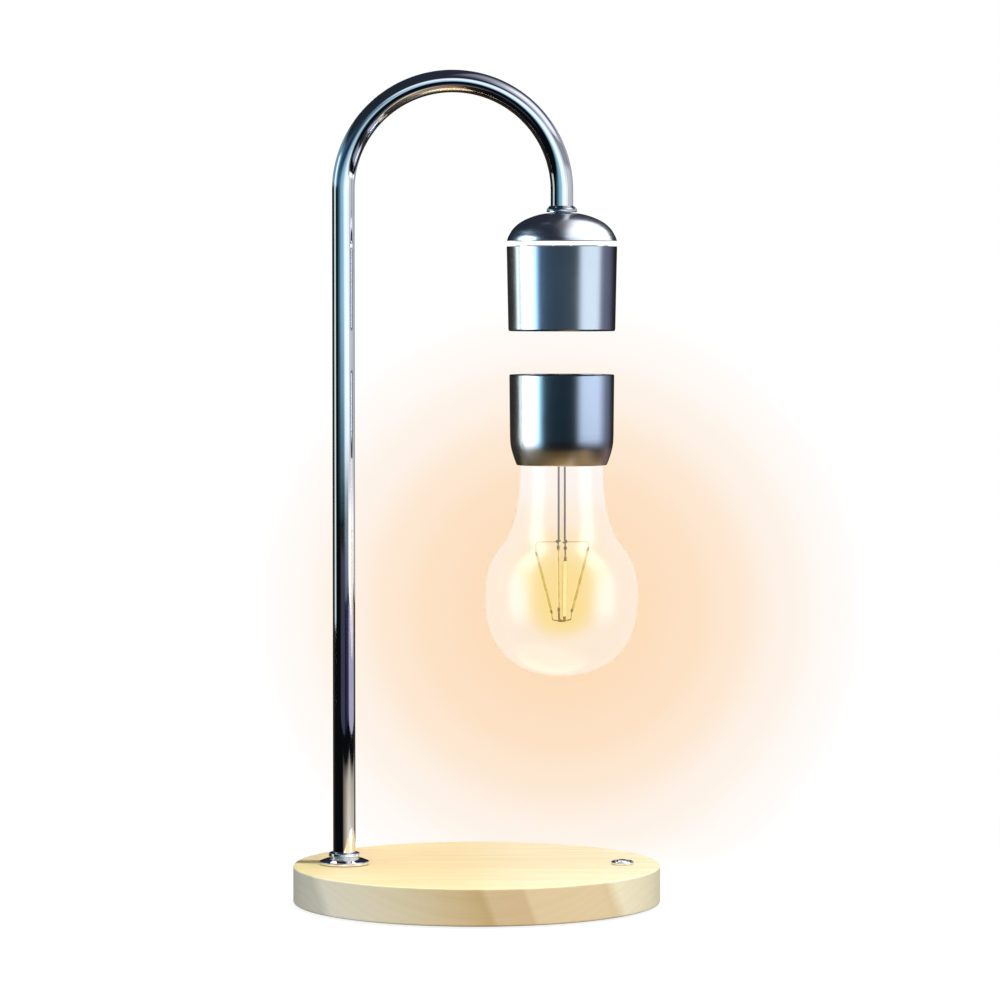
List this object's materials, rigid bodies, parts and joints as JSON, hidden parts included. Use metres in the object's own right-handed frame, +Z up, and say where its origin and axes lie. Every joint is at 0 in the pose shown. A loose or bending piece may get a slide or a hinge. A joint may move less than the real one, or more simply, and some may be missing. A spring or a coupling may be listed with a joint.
{
  "type": "levitating table lamp",
  "caption": "Pale wooden disc base with a polished inverted-U tube; a lit electromagnet head at its end holds a metal-capped filament bulb floating in the air below it.",
  "frame": {"origin": "centre of the base's underside, at the bottom of the feet", "axes": "+Z up, +X from the arm's foot towards the push switch, +Y towards the back, where the power inlet is"},
  "size_m": [0.18, 0.18, 0.4078],
  "materials": {
    "pine": "oiled pale pine, fine straight grain",
    "black_steel": "black powder coat",
    "rubber": "matte",
    "zinc": "zinc plated",
    "chrome": "mirror polished plating",
    "satin_steel": "satin gunmetal plating",
    "light_ring": "opal diffuser, lit from inside",
    "black_abs": "moulded",
    "circuit_board": "solder mask with dark components",
    "copper": "enamelled copper wire, wound",
    "soft_iron": "bare soft iron",
    "magnet_nickel": "nickel plated magnet",
    "brass": "plated contact",
    "cable_pvc": "cable sheath",
    "clear_glass": "clear blown glass",
    "lead_wire": "oxidised nickel wire",
    "led_phosphor": "yellow phosphor coat, lit"
  },
  "bodies": {
    "stand": {"arm_cable": "cable_pvc", "arm_flange": "chrome", "arm_nut": "zinc", "arm_stud": "zinc", "arm_tube": "chrome", "arm_washer": "zinc", "base_board": "pine", "bias_magnet": "magnet_nickel", "board_screw_left": "zinc", "board_screw_right": "zinc", "bottom_plate": "black_steel", "coil_bobbin": "black_abs", "coil_winding": "copper", "control_board": "circuit_board", "dc_inlet": "black_abs", "dc_inlet_pin": "brass", "driver_board": "circuit_board", "foot_back_left": "rubber", "foot_back_right": "rubber", "foot_front_left": "rubber", "foot_front_right": "rubber", "hall_board": "circuit_board", "head_chassis": "black_abs", "head_cover": "black_abs", "head_dome": "satin_steel", "head_nut": "zinc", "head_sleeve": "satin_steel", "head_stud": "zinc", "head_washer": "zinc", "inlet_cable": "cable_pvc", "light_ring": "light_ring", "magnet_core": "soft_iron", "neck_collar": "chrome", "plate_screw_front": "zinc", "plate_screw_left": "zinc", "plate_screw_right": "zinc", "ring_led_board": "circuit_board", "switch_bezel": "chrome", "switch_block": "black_abs", "switch_cable": "cable_pvc", "switch_nut": "zinc", "switch_spring": "zinc", "transmitter_coil": "copper"},
    "floating_core": {"lift_magnet": "magnet_nickel"},
    "bulb": {"bulb_cup": "satin_steel", "cup_lid": "black_abs", "magnet_tray": "black_abs", "receiver_coil": "copper", "receiver_board": "circuit_board", "neck_ring": "black_abs", "bulb_glass": "clear_glass", "glass_stem": "clear_glass", "lead_wire_left": "lead_wire", "lead_wire_right": "lead_wire", "filament_star": "lead_wire", "filament_left": "led_phosphor", "filament_right": "led_phosphor", "filament_front": "led_phosphor", "filament_back": "led_phosphor"},
    "switch_button": {"switch_button": "chrome"}
  },
  "joints": [
    {"name": "bulb_hover", "type": "slide", "parent": "stand", "child": "floating_core", "axis": [0, 0, 1], "range_m": [-0.03, 0.0205], "stiffness_N_per_m": 150, "springref_m": 0.01243},
    {"name": "bulb_spin", "type": "hinge", "parent": "floating_core", "child": "bulb", "pos_m": [0.0416, 0, 0.2528], "axis": [0, 0, 1], "continuous": true},
    {"name": "switch_press", "type": "slide", "parent": "stand", "child": "switch_button", "axis": [0, 0, -1], "range_m": [0, 0.0008], "stiffness_N_per_m": 800, "springref_m": -0.0005, "deforming": ["switch_spring"]}
  ]
}
